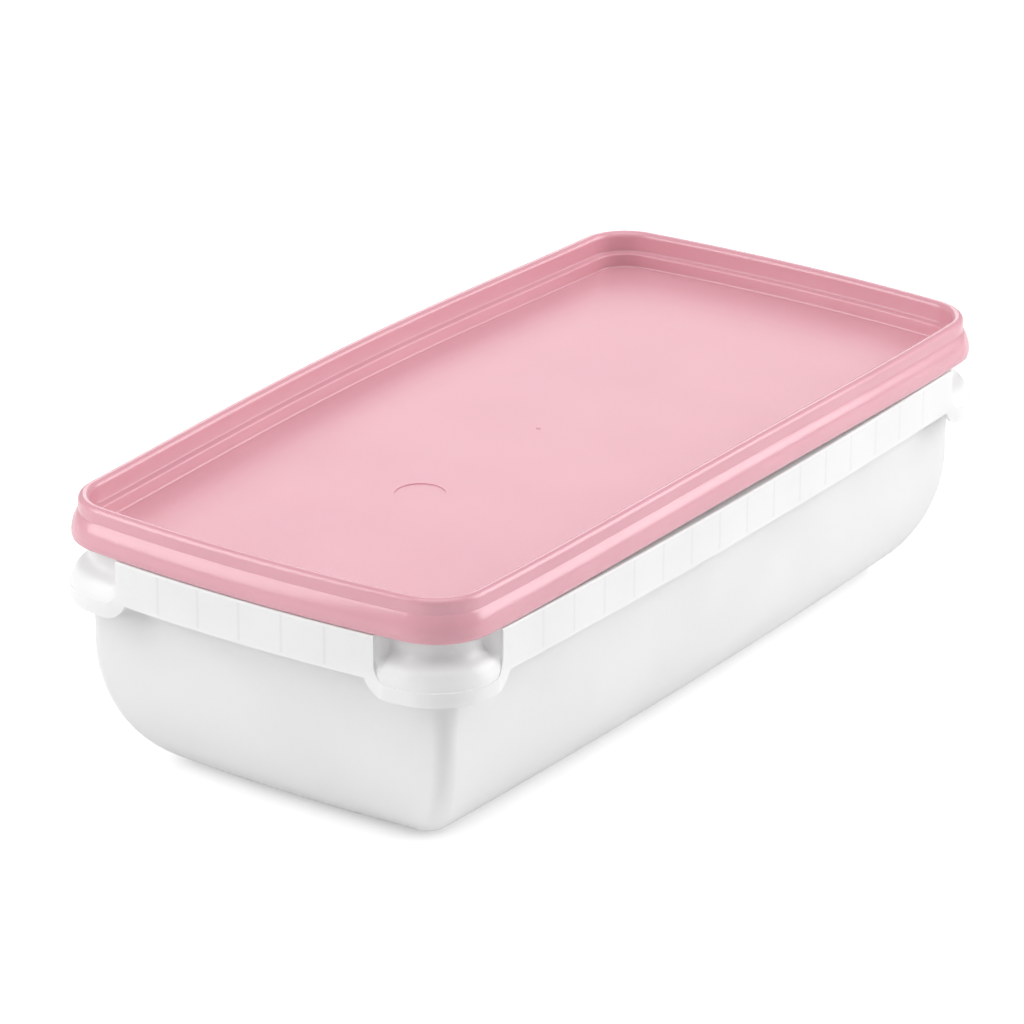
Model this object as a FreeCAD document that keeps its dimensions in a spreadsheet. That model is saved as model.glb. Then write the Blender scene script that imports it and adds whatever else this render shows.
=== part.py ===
"""Freezer container: a drafted, thin-walled tub with a skirted rim and lift lugs, and its press-on lid.

The model stands on its base at z = 0, centred on the z axis, with its long side along x. Millimetres.
Outlines are bowed rectangles: four long shallow arcs joined by four corner arcs. "Inset" is the distance
that an outline lies inside the container's outermost outline.
"""
import FreeCAD, Part
import math
import os

V = FreeCAD.Vector

# Driving sizes: alias, value in mm or degrees or pieces, meaning.
SIZES = [
    ("rim_length", 290.0, "outermost length, over the middle of the short sides"),
    ("rim_width", 146.0, "outermost width, over the middle of the long sides"),
    ("corner_radius", 18.5, "plan radius of the outermost outline's corners"),
    ("long_side_radius", 3000.0, "bow of the long sides"),
    ("short_side_radius", 560.0, "bow of the short sides"),
    ("flange_height", 70.8, "top of the tub's flange above the base"),
    ("wall", 1.2, "tub wall thickness"),
    ("floor_thickness", 1.4, "tub floor thickness"),
    ("plug_clearance", 0.5, "play between the lid's plug and the tub's inner wall"),
    ("wall_draft_middle", 1.6, "how far the wall has drawn in at the foot of the skirt"),
    ("wall_draft_knee", 2.5, "how far the wall has drawn in where the base curve starts"),
    ("wall_radius_middle", 8.6, "plan corner radius of the wall at the foot of the skirt"),
    ("wall_radius_knee", 5.7, "plan corner radius of the wall where the base curve starts"),
    ("wall_radius_base", 4.8, "plan corner radius of the flat base"),
    ("knee_height", 39.3, "height at which the base curve starts"),
    ("knee_reach", 26.1, "how far the base curve reaches inwards"),
    ("skin", 1.2, "thickness of flange, skirt and lugs"),
    ("skirt_depth", 12.7, "skirt from the flange's top to its lower edge"),
    ("skirt_edge_radius", 0.6, "rounding of the skirt's upper edge"),
    ("lug_drop", 5.0, "how far a lug hangs below the skirt"),
    ("lug_reach_long", 29.6, "how far a lug reaches along the long side, from the end"),
    ("lug_reach_short", 32.1, "how far a lug reaches along the short side, from the side"),
    ("lug_radius", 8.0, "rounding of a lug's lower corners"),
    ("lug_rim", 3.6, "width of the rim round a lug's scoop"),
    ("scoop_step", 0.5, "depth of the scoop's lower edge"),
    ("scoop_flat", 2.8, "upright strip above the scoop's lower edge"),
    ("scoop_radius", 5.0, "rounding of the scoop's lower corners"),
    ("rib_thickness", 0.9, "stiffening rib between wall and skirt"),
    ("rib_pitch", 14.4, "spacing of the ribs"),
    ("long_ribs", 15, "ribs along each long side"),
    ("short_ribs", 5, "ribs along each short side"),
    ("rib_lift", 0.8, "rib's lower end above the skirt's lower edge"),
    ("rim_edge_radius", 0.35, "rounding of the sealing rim's top edges"),
    ("rim_clearance", 0.15, "play each side of the sealing rim in the lid's channel"),
    ("rim_rise", 0.1, "sealing rim above the foot of the channel's rounded ceiling"),
    ("lid_seat_gap", 0.1, "play between the tub's shoulder and the lid's ledge at the ends"),
    ("lid_foot_gap", 0.4, "gap between the flange and the lid's skirt at the ends"),
    ("lid_wall", 1.0, "lid thickness"),
    ("bead_width", 3.4, "width of the lid's rounded bead"),
    ("bead_inset", 2.1, "inset of the bead's outer side"),
    ("crease_drop", 4.15, "crease between bead and skirt, below the bead's top"),
    ("bulge_drop", 10.9, "widest point of the lid's skirt, below the bead's top"),
    ("lid_skirt_drop", 12.2, "lower edge of the lid's skirt, below the bead's top"),
    ("lid_skirt_tuck", 0.25, "how far the lid's lower edge draws in"),
    ("ledge_drop", 6.3, "ledge inside the bead, below the bead's top"),
    ("ledge_width", 2.4, "width of the ledge"),
    ("panel_drop", 10.7, "recessed panel, below the bead's top"),
    ("ledge_fillet", 0.5, "rounding of the ledge's edges"),
    ("lid_camber", 1.5, "rise of the lid at the middle of its length"),
    ("gate_disc_radius", 7.5, "round flat on the panel"),
    ("gate_disc_depth", 0.25, "depth of the round flat"),
    ("gate_disc_x", -59.5, "middle of the round flat along the length"),
    ("gate_nub_radius", 0.8, "moulding gate mark at the panel's middle"),
    ("gate_nub_height", 0.3, "height of the gate mark"),
]

doc = FreeCAD.newDocument("FreezerContainer")
sheet = doc.addObject("Spreadsheet::Sheet", "Sizes")
for row, (alias, value, meaning) in enumerate(SIZES, start=1):
    sheet.set("A%d" % row, alias)
    sheet.set("B%d" % row, str(value))
    sheet.set("C%d" % row, meaning)
    sheet.setAlias("B%d" % row, alias)
doc.recompute()


def size(alias):
    """Return a driving size from the sheet."""
    return float(sheet.get(alias))


def bead_height():
    """Top of the lid's bead above the base, at the ends."""
    return size("flange_height") + size("lid_foot_gap") + size("lid_skirt_drop")


def shoulder_height():
    """Top of the tub's shoulder, on which the lid's ledge sits."""
    return bead_height() - size("ledge_drop") - size("lid_wall") - size("lid_seat_gap")


def rim_height():
    """Top of the tub's sealing rim, in the lid's channel."""
    return bead_height() - size("bead_width") / 2 + size("rim_rise")


def ledge_inset():
    """Inner edge of the lid's ledge, where the wall down to the panel stands."""
    return size("bead_inset") + size("bead_width") + size("ledge_width")


def wall_inset():
    """Outer side of the tub's wall under the rim, outside the lid's plug."""
    return ledge_inset() - size("lid_wall") - size("plug_clearance") - size("wall")


def lug_start():
    """Where the lugs start, from the middle: (along the long side, along the short side)."""
    return size("rim_length") / 2 - size("lug_reach_long"), size("rim_width") / 2 - size("lug_reach_short")


OVER = 5.0  # how far cutting tools reach past what they cut
LOFT_STEPS = 5  # sections along a quarter of the base curve


# ---------------------------------------------------------------- outlines

def corner_points(inset, radius):
    """Return (long side end, corner middle, short side end) of the outline's first quadrant."""
    half_x = size("rim_length") / 2 - inset
    half_y = size("rim_width") / 2 - inset
    long_r = size("long_side_radius") - inset
    short_r = size("short_side_radius") - inset
    long_c = V(0, half_y - long_r, 0)
    short_c = V(half_x - short_r, 0, 0)
    # The corner arc is tangent inside both side arcs: its centre lies on two circles about their centres.
    a, b = long_r - radius, short_r - radius
    gap = short_c.sub(long_c)
    d = gap.Length
    along = (a * a - b * b + d * d) / (2 * d)
    across = math.sqrt(a * a - along * along)
    u = V(gap).normalize()
    n = V(-u.y, u.x, 0)
    centre = long_c + u * along + n * across
    if centre.x < 0 or centre.y < 0:
        centre = long_c + u * along - n * across
    long_dir = centre.sub(long_c).normalize()
    short_dir = centre.sub(short_c).normalize()
    mid_dir = (long_dir + short_dir).normalize()
    return centre + long_dir * radius, centre + mid_dir * radius, centre + short_dir * radius


def outline_edges(inset, radius):
    """Return the outline's arcs at z = 0, starting from the middle of the +x side, anticlockwise."""
    long_end, corner, short_end = corner_points(inset, radius)
    half_x = size("rim_length") / 2 - inset
    half_y = size("rim_width") / 2 - inset
    mirror = [(1, 1), (-1, 1), (-1, -1), (1, -1)]
    p = [[V(q.x * sx, q.y * sy, 0) for sx, sy in mirror] for q in (long_end, corner, short_end)]
    long_p, corner_p, short_p = p
    side_x, side_y = V(half_x, 0, 0), V(0, half_y, 0)
    half = side_arc_point(side_x, short_p[0], size("short_side_radius") - inset)
    half_low = V(half.x, -half.y, 0)
    return [
        Part.Arc(side_x, half, short_p[0]).toShape(),
        Part.Arc(short_p[0], corner_p[0], long_p[0]).toShape(),
        Part.Arc(long_p[0], side_y, long_p[1]).toShape(),
        Part.Arc(long_p[1], corner_p[1], short_p[1]).toShape(),
        Part.Arc(short_p[1], side_x * -1, short_p[2]).toShape(),
        Part.Arc(short_p[2], corner_p[2], long_p[2]).toShape(),
        Part.Arc(long_p[2], side_y * -1, long_p[3]).toShape(),
        Part.Arc(long_p[3], corner_p[3], short_p[3]).toShape(),
        Part.Arc(short_p[3], half_low, side_x).toShape(),
    ]


def side_arc_point(start, end, radius):
    """Return a point between two points of a short side's arc, whose centre is on the x axis."""
    centre = V(start.x - radius, 0, 0)
    middle = (start + end) * 0.5
    return centre + middle.sub(centre).normalize() * radius


def outline_wire(inset, radius, z=0.0):
    """Return the closed outline at height z."""
    wire = Part.Wire(outline_edges(inset, radius))
    wire.translate(V(0, 0, z))
    return wire


def parallel_radius(inset):
    """Return the corner radius of an outline parallel to the outermost one."""
    return size("corner_radius") - inset


# ---------------------------------------------------------------- document helpers

def add_shape(name, shape):
    """Add a Part::Feature that holds a shape worked out from the sheet."""
    feature = doc.addObject("Part::Feature", name)
    feature.Shape = shape
    return feature


def add_extrusion(name, base, direction, length, lift=None):
    """Extrude a base feature; length and lift are expressions on the sheet."""
    ext = doc.addObject("Part::Extrusion", name)
    ext.Base = base
    ext.DirMode = "Custom"
    ext.Dir = direction
    ext.Solid = True
    ext.setExpression("LengthFwd", str(length))
    if lift is not None:
        ext.setExpression(".Placement.Base.z", str(lift))
    return ext


def add_slab(name, inset, low, high, radius=None):
    """A prism of an outline between two heights, which are numbers or expressions on the sheet."""
    base = add_shape(name + "Outline", outline_wire(inset, radius or parallel_radius(inset)))
    return add_extrusion(name, base, V(0, 0, 1), "(%s) - (%s)" % (high, low), low)


def add_loft(name, sections):
    """Loft a solid through outlines given as (inset, corner radius, height)."""
    wires = [add_shape("%sSection%d" % (name, i), outline_wire(*s)) for i, s in enumerate(sections)]
    loft = doc.addObject("Part::Loft", name)
    loft.Sections = wires
    loft.Solid = True
    loft.Ruled = False
    return loft


def add_fuse(name, *parts):
    """Fuse two or more features."""
    fuse = doc.addObject("Part::MultiFuse", name)
    fuse.Shapes = list(parts)
    return fuse


def add_cut(name, base, tool):
    """Cut one feature from another."""
    cut = doc.addObject("Part::Cut", name)
    cut.Base = base
    cut.Tool = tool
    return cut


def add_common(name, *parts):
    """Keep what all the features share."""
    common = doc.addObject("Part::MultiCommon", name)
    common.Shapes = list(parts)
    return common


def add_mirrored(name, source, normal):
    """Mirror a feature through the origin."""
    mirror = doc.addObject("Part::Mirroring", name)
    mirror.Source = source
    mirror.Normal = normal
    return mirror


def edge_numbers(shape, keep):
    """Return the numbers of the edges whose middle passes a test."""
    numbers = []
    for number, edge in enumerate(shape.Edges, start=1):
        middle = (edge.FirstParameter + edge.LastParameter) / 2
        if keep(edge.valueAt(middle)):
            numbers.append(number)
    return numbers


def add_fillet(name, base, radius, keep):
    """Round the edges of a feature whose middle passes a test."""
    doc.recompute()
    fillet = doc.addObject("Part::Fillet", name)
    fillet.Base = base
    fillet.Edges = [(i, radius, radius) for i in edge_numbers(base.Shape, keep)]
    return fillet


# ---------------------------------------------------------------- tub

def wall_sections(thickness, floor):
    """Sections of the tub's wall, offset inwards by a thickness and upwards by a floor."""
    low = size("flange_height") - size("skirt_depth")
    knee = size("knee_height")
    top = wall_inset() + thickness
    start = top + size("wall_draft_knee")
    reach = size("knee_reach") - thickness + floor
    rise = knee - floor
    radius_knee = size("wall_radius_knee")
    radius_base = size("wall_radius_base")
    sections = [
        (top, parallel_radius(top), shoulder_height()),
        (top + size("wall_draft_middle"), size("wall_radius_middle") - thickness, low),
    ]
    for step in range(LOFT_STEPS + 1):
        angle = math.pi / 2 * step / LOFT_STEPS
        share = 1 - math.cos(angle)
        radius = radius_knee + (radius_base - radius_knee) * share - thickness
        sections.append((start + reach * share, radius, knee - rise * math.sin(angle)))
    return sections


def scoop_floor(offset):
    """Sections of a scoop's floor: upright, then an S of two equal arcs, upright again at the wall."""
    bottom = size("flange_height") - size("skirt_depth") - size("lug_drop") + size("lug_rim")
    bend = bottom + size("scoop_flat")
    top = size("flange_height") + OVER / 2
    low_inset = size("scoop_step") + offset
    high_inset = wall_inset() - 0.1 + offset
    width, height = (high_inset - low_inset) / 2, (top - bend) / 2
    radius = (width ** 2 + height ** 2) / (2 * width)
    turn = math.asin(height / radius)
    steps = 3
    sections = [(low_inset, size("flange_height") - size("skirt_depth") - size("lug_drop") - OVER)]
    sections.append((low_inset, bend))
    for i in range(1, steps + 1):
        angle = turn * i / steps
        sections.append((low_inset + radius * (1 - math.cos(angle)), bend + radius * math.sin(angle)))
    for i in range(steps - 1, -1, -1):
        angle = turn * i / steps
        sections.append((high_inset - radius * (1 - math.cos(angle)), top - radius * math.sin(angle)))
    return [(inset, parallel_radius(inset), z) for inset, z in sections]


def window_face(half, low, radius, high, far):
    """Upright face from half to far and low to high, with its lower inner corner rounded, in the xz plane."""
    points = [
        V(half, 0, high),
        V(half, 0, low + radius),
        V(half + radius, 0, low),
        V(far, 0, low),
        V(far, 0, high),
    ]
    sagitta = radius * (1 - math.sqrt(0.5))
    bend = Part.Arc(points[1], V(half + sagitta, 0, low + sagitta), points[2]).toShape()
    edges = [
        Part.makeLine(points[0], points[1]),
        bend,
        Part.makeLine(points[2], points[3]),
        Part.makeLine(points[3], points[4]),
        Part.makeLine(points[4], points[0]),
    ]
    return Part.Face(Part.Wire(edges))


def add_window(name, half_x, half_y, low, radius):
    """Space over the four corners, past half_x and half_y and above low, with rounded lower corners."""
    high = size("flange_height") + OVER
    far = size("rim_length")
    faces = []
    for axis, half in (("X", half_x), ("Y", half_y)):
        face = window_face(half, low, radius, high, far)
        face.translate(V(0, -far, 0))
        if axis == "Y":
            face.rotate(V(0, 0, 0), V(0, 0, 1), 90)
        base = add_shape(name + axis + "Face", face)
        direction = V(0, 1, 0) if axis == "X" else V(-1, 0, 0)
        ext = add_extrusion(name + axis, base, direction, "2 * Sizes.rim_length")
        normal = V(1, 0, 0) if axis == "X" else V(0, 1, 0)
        both = add_fuse(name + axis + "Both", ext, add_mirrored(name + axis + "Mirror", ext, normal))
        faces.append(both)
    return add_common(name, *faces)


def add_skirt():
    """Flange, skirt, corner lugs with their scoops, and the hollow behind them with its ribs."""
    low = "Sizes.flange_height - Sizes.skirt_depth"
    lug_low = low + " - Sizes.lug_drop"
    skirt_low = size("flange_height") - size("skirt_depth")
    lip_low = skirt_low - size("lug_drop")
    lip_top = lip_low + size("lug_rim")
    skin = size("skin")
    rim = size("lug_rim")

    band = add_slab("SkirtBand", 0, low, "Sizes.flange_height")
    deep = add_slab("LugDepth", 0, lug_low, "Sizes.flange_height")
    lug_x, lug_y = lug_start()
    lug_window = add_window("LugWindow", lug_x, lug_y, lip_low, size("lug_radius"))
    lugs = add_common("Lugs", deep, lug_window)
    envelope = add_fuse("SkirtEnvelope", band, lugs)
    envelope = add_fillet("SkirtEnvelopeRounded", envelope, size("skirt_edge_radius"),
                          lambda p: p.z > size("flange_height") - 0.01)

    # The scoops are open outside their floor; the skin behind them follows the same floor.
    floor = add_loft("ScoopFloor", scoop_floor(0))
    window = add_window("ScoopWindow", lug_x + rim, lug_y + rim, lip_top, size("scoop_radius"))
    scoops = add_cut("Scoops", window, floor)
    back = add_loft("ScoopBack", scoop_floor(skin))
    back_window = add_window("ScoopBackWindow", lug_x + rim - skin, lug_y + rim - skin,
                             lip_top - skin, size("scoop_radius") + skin)
    kept = add_cut("ScoopSkin", back_window, back)

    hollow = add_slab("SkirtHollow", skin, lug_low + " - 5", "Sizes.flange_height - Sizes.skin")
    ribs = add_ribs(skirt_low)
    hollow = add_cut("SkirtHollowOpen", hollow, add_fuse("HollowKept", kept, ribs))
    return add_cut("Skirt", add_cut("SkirtScooped", envelope, scoops), hollow)


def add_ribs(skirt_low):
    """Upright ribs that tie the skirt to the wall, along all four sides."""
    blades = []
    span = size("rim_length")
    for count, along_x in ((int(size("long_ribs")), True), (int(size("short_ribs")), False)):
        for i in range(count):
            place = (i - (count - 1) / 2) * size("rib_pitch")
            box = doc.addObject("Part::Box", "RibBlade%s%d" % ("X" if along_x else "Y", i))
            box.setExpression("Height", "Sizes.skirt_depth - Sizes.rib_lift")
            box.setExpression("Length", "Sizes.rib_thickness" if along_x else "2 * Sizes.rim_length")
            box.setExpression("Width", "2 * Sizes.rim_length" if along_x else "Sizes.rib_thickness")
            half = size("rib_thickness") / 2
            corner = V(place - half, -span, 0) if along_x else V(-span, place - half, 0)
            box.Placement.Base = corner + V(0, 0, skirt_low + size("rib_lift"))
            blades.append(box)
    long_blades = blades[:int(size("long_ribs"))]
    short_blades = blades[int(size("long_ribs")):]
    reach = size("rim_length") / 2 - 2 * wall_inset()
    ring_low = "Sizes.flange_height - Sizes.skirt_depth"
    kept = []
    for name, group in (("Long", long_blades), ("Short", short_blades)):
        comb = add_fuse("RibComb" + name, *group)
        box = doc.addObject("Part::Box", "RibZone" + name)
        width = size("rim_width") if name == "Short" else 2 * size("rim_length")
        length = 2 * size("rim_length") if name == "Short" else 2 * reach
        box.Length, box.Width, box.Height = length, width, rim_height()
        box.Placement.Base = V(-length / 2, -width / 2, 0)
        kept.append(add_common("RibsOf" + name, comb, box))
    outer = add_slab("RibOuter", size("skin") / 2, ring_low, "Sizes.flange_height")
    return add_common("Ribs", add_fuse("RibBoth", *kept), outer)


def make_tub():
    """The tub: wall and base, skirt with lugs, shoulder and sealing rim, as one moulding."""
    rim_outer = size("bead_inset") + size("lid_wall") + size("rim_clearance")
    rim_inner = size("bead_inset") + size("bead_width") - size("lid_wall") - size("rim_clearance")
    wall = size("wall")
    round_off = size("rim_edge_radius")

    body = add_loft("TubBody", wall_sections(0, 0))
    collar = add_slab("RimCollar", rim_outer, shoulder_height() - wall, rim_height())
    collar = add_fillet("RimCollarRounded", collar, round_off, lambda p: p.z > rim_height() - 0.01)
    solid = add_fuse("TubSolid", body, collar, add_skirt())

    hollow = add_loft("TubHollow", wall_sections(wall, size("floor_thickness")))
    mouth = add_slab("TubMouth", rim_inner, shoulder_height(), rim_height() + OVER)
    tub = add_cut("Tub", solid, add_fuse("TubInside", hollow, mouth))
    tub.Label = "tub"
    return tub


# ---------------------------------------------------------------- lid

def camber_height(x, reach):
    """Rise of the lid at x: a smooth swell that runs out level at the corners."""
    share = min(1.0, abs(x) / reach)
    return size("lid_camber") * (1 - share ** 2) ** 2


def cambered_arc(start, middle, end, reach, steps=12):
    """A side's arc, raised by the camber."""
    arc = Part.Arc(start, middle, end)
    first, last = arc.FirstParameter, arc.LastParameter
    points = []
    for i in range(steps + 1):
        p = arc.value(first + (last - first) * i / steps)
        points.append(V(p.x, p.y, camber_height(p.x, reach)))
    tangent_in = arc.tangent(first)[0]
    tangent_out = arc.tangent(last)[0]
    curve = Part.BSplineCurve()
    curve.interpolate(Points=points, InitialTangent=tangent_in, FinalTangent=tangent_out)
    return curve.toShape()


def lid_path():
    """The outermost outline as the lid follows it, from the middle of the +x side."""
    radius = size("corner_radius")
    edges = outline_edges(0, radius)
    reach = corner_points(0, radius)[0].x
    for i in (2, 6):
        curve = edges[i].Curve
        a, b = edges[i].Vertexes[0].Point, edges[i].Vertexes[-1].Point
        middle = V(0, size("rim_width") / 2 * (1 if i == 2 else -1), 0)
        edges[i] = cambered_arc(a, middle, b, reach)
    return Part.Wire(edges)


def section_point(inset, drop):
    """Return a point of the lid's section, in the plane of the container's length."""
    return V(size("rim_length") / 2 - inset, 0, bead_height() - drop)


def section_arc(start, middle, end):
    """Return an arc of the lid's section through three (inset, drop) points."""
    return Part.Arc(section_point(*start), section_point(*middle), section_point(*end)).toShape()


def bulge_arc(centre, radius, top_inset):
    """Return the skirt's arc, upright at its foot and rising to an inset: (foot, middle, top) points."""
    turn = math.acos((centre[0] - top_inset) / radius)
    points = []
    for angle in (0, turn / 2, turn):
        points.append((centre[0] - radius * math.cos(angle), centre[1] - radius * math.sin(angle)))
    return points


def lid_section():
    """The lid's rim in section: skirt, crease, bead, ledge and the wall down to the panel."""
    t = size("lid_wall")
    out = size("bead_inset")
    inn = out + size("bead_width")
    ledge = ledge_inset()
    bead_r = size("bead_width") / 2
    shelf = size("ledge_drop")
    end = size("panel_drop") + 0.7 * t
    foot = size("lid_skirt_drop")
    tuck = size("lid_skirt_tuck")
    fillet = size("ledge_fillet")
    bevel = fillet * (1 - math.sqrt(0.5))

    rise = size("bulge_drop") - size("crease_drop")
    bulge_r = (rise ** 2 + out ** 2) / (2 * out)
    centre = (bulge_r, size("bulge_drop"))
    outer = bulge_arc(centre, bulge_r, out)
    inner = bulge_arc(centre, bulge_r - t, out + t)

    edges = [
        section_arc(*outer),
        section_arc((out, bead_r), (out + bead_r, 0), (inn, bead_r)),
        section_arc((inn, shelf - fillet), (inn + bevel, shelf - bevel), (inn + fillet, shelf)),
        section_arc((ledge - fillet, shelf), (ledge - bevel, shelf + bevel), (ledge, shelf + fillet)),
        section_arc((inn - t, bead_r), (out + bead_r, t), (out + t, bead_r)),
        section_arc(*inner),
    ]
    lines = [
        ((tuck, foot), outer[0]),
        (outer[2], (out, bead_r)),
        ((inn, bead_r), (inn, shelf - fillet)),
        ((inn + fillet, shelf), (ledge - fillet, shelf)),
        ((ledge, shelf + fillet), (ledge, end)),
        ((ledge, end), (ledge - t, end)),
        ((ledge - t, end), (ledge - t, shelf + t)),
        ((ledge - t, shelf + t), (inn - t, shelf + t)),
        ((inn - t, shelf + t), (inn - t, bead_r)),
        ((out + t, bead_r), inner[2]),
        (inner[0], (tuck + t, foot)),
        ((tuck + t, foot), (tuck, foot)),
    ]
    for start, finish in lines:
        edges.append(Part.makeLine(section_point(*start), section_point(*finish)))
    return Part.Wire(Part.__sortEdges__(edges))


def panel_slab(reach):
    """The panel's cambered plate, wider than the lid."""
    half = size("rim_length") / 2
    z_top = bead_height() - size("panel_drop")
    z_low = z_top - size("lid_wall")
    steps = 16
    edges = []
    for z in (z_top, z_low):
        swell = [-reach + 2 * reach * i / steps for i in range(steps + 1)]
        curve = Part.BSplineCurve()
        points = [V(x, -half, z + camber_height(x, reach)) for x in swell]
        curve.interpolate(Points=points, InitialTangent=V(1, 0, 0), FinalTangent=V(1, 0, 0))
        edges.append(Part.makeLine(V(-half, -half, z), V(-reach, -half, z)))
        edges.append(curve.toShape())
        edges.append(Part.makeLine(V(reach, -half, z), V(half, -half, z)))
    for side in (-1, 1):
        edges.append(Part.makeLine(V(side * half, -half, z_top), V(side * half, -half, z_low)))
    face = Part.Face(Part.Wire(Part.__sortEdges__(edges)))
    return add_extrusion("PanelSlab", add_shape("PanelSlabFace", face), V(0, 1, 0), "Sizes.rim_length")


def make_lid():
    """The lid: a rim of one section swept round the outline, closed by a cambered panel."""
    pipe = Part.BRepOffsetAPI.MakePipeShell(lid_path())
    pipe.setBiNormalMode(V(0, 0, 1))
    pipe.add(lid_section(), False, False)
    pipe.build()
    pipe.makeSolid()
    rim = add_shape("LidRim", pipe.shape())

    # The panel ends inside the thickness of the wall round it.
    reach = corner_points(0, size("corner_radius"))[0].x
    edge = ledge_inset() - size("lid_wall") / 2
    plug = add_slab("PanelOutline", edge, shoulder_height() - 2 * OVER, bead_height())
    panel = add_common("Panel", panel_slab(reach), plug)

    z_top = bead_height() - size("panel_drop")
    disc = doc.addObject("Part::Cylinder", "GateDisc")
    disc.setExpression("Radius", "Sizes.gate_disc_radius")
    disc.Height = OVER
    disc_z = z_top + camber_height(size("gate_disc_x"), reach) - size("gate_disc_depth")
    disc.Placement.Base = V(size("gate_disc_x"), 0, disc_z)
    nub = doc.addObject("Part::Cylinder", "GateNub")
    nub.setExpression("Radius", "Sizes.gate_nub_radius")
    nub.Height = size("lid_wall") / 2 + size("gate_nub_height")
    nub.Placement.Base = V(0, 0, z_top + size("lid_camber") - size("lid_wall") / 2)
    whole = add_fuse("LidWhole", rim, panel, nub)
    lid = add_cut("Lid", whole, disc)
    lid.Label = "lid"
    return lid


# ---------------------------------------------------------------- build, check and write

nodes = [make_tub(), make_lid()]
doc.recompute()

for obj in doc.Objects:
    if "Invalid" in obj.State or "Error" in obj.State:
        raise RuntimeError("%s failed: %s" % (obj.Name, obj.State))
os.makedirs("parts", exist_ok=True)
for node in nodes:
    shape = node.Shape
    if shape.isNull() or not shape.isValid() or len(shape.Solids) != 1:
        raise RuntimeError("%s is not one valid solid: %d" % (node.Label, len(shape.Solids)))
    print("%s: %.1f cm3, %d faces" % (node.Label, shape.Volume / 1000, len(shape.Faces)))
for node in nodes:
    node.Shape.exportStep("parts/%s.step" % node.Label)
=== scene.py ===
"""A freezer container: a frosted tub with a ribbed skirt and four lift lugs, and its press-on lid."""

import logging
import math
from collections.abc import Iterable, Sequence
from dataclasses import dataclass, replace
from enum import IntEnum

import bmesh
import bpy
from bmesh.types import BMEdge, BMesh, BMFace, BMVert
from bpy.types import Material, Node, NodeSocket, NodeTree, Object
from mathutils import Matrix, Vector

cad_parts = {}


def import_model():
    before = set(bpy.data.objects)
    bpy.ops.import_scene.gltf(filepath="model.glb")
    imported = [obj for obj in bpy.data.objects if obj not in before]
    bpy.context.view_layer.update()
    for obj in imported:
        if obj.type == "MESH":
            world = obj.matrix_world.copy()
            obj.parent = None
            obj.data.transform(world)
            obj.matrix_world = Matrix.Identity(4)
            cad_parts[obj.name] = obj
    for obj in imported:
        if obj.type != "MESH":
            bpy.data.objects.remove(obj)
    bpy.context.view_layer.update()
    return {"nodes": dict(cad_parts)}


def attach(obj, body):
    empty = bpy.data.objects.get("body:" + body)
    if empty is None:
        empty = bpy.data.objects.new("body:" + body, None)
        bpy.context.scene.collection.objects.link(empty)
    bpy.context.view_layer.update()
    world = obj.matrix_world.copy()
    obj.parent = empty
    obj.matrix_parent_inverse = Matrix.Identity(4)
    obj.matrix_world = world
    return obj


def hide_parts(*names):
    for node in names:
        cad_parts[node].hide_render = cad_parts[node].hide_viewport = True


MM = 0.001
MERGE = 1e-6  # vertices nearer than this are one
NEAR = 1e-5  # slack for finding edges and faces by their place
SNAP = 2e-5  # vertices this near a middle plane are put on it
RIB_PITCH = 14.4 * MM

Colour = tuple[float, float, float]
Level = tuple[float, float, float]  # inset, corner radius and height of a ring

logging.basicConfig(level=logging.INFO, format="%(message)s")
log = logging.getLogger("container")


# ---------------- plan outline


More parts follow.
